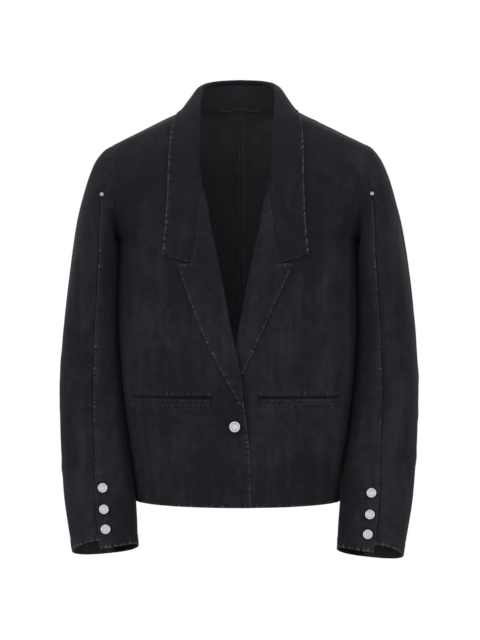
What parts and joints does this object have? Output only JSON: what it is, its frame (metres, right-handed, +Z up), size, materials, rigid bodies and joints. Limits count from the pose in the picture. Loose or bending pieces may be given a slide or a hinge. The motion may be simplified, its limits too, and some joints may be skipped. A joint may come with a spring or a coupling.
{
  "type": "denim blazer",
  "caption": "Cropped, boxy denim blazer with notched lapels, a fastened front button, welt pockets and buttoned cuffs, filled out with no wearer.",
  "frame": {"origin": "nape: the middle of the back neck seam, where the wearer's shoulders and neck hold the garment", "axes": "+Z up, front faces -Y, +X is the wearer's left"},
  "size_m": [0.5524, 0.2765, 0.742],
  "materials": {
    "washed_black_denim": "washed black cotton twill denim, matt",
    "brushed_nickel": "brushed nickel-plated metal"
  },
  "bodies": {
    "root": {"back_left": "washed_black_denim", "back_right": "washed_black_denim", "front_left": "washed_black_denim", "front_right": "washed_black_denim", "sleeve_outer_left": "washed_black_denim", "sleeve_outer_right": "washed_black_denim", "sleeve_inner_left": "washed_black_denim", "sleeve_inner_right": "washed_black_denim", "collar_stand": "washed_black_denim", "collar": "washed_black_denim", "lapel_left": "washed_black_denim", "lapel_right": "washed_black_denim", "pocket_welt_left": "washed_black_denim", "pocket_welt_right": "washed_black_denim", "button_front": "brushed_nickel", "cuff_button_left_1": "brushed_nickel", "cuff_button_left_2": "brushed_nickel", "cuff_button_left_3": "brushed_nickel", "cuff_button_right_1": "brushed_nickel", "cuff_button_right_2": "brushed_nickel", "cuff_button_right_3": "brushed_nickel", "rivet_left": "brushed_nickel", "rivet_right": "brushed_nickel"}
  },
  "joints": []
}
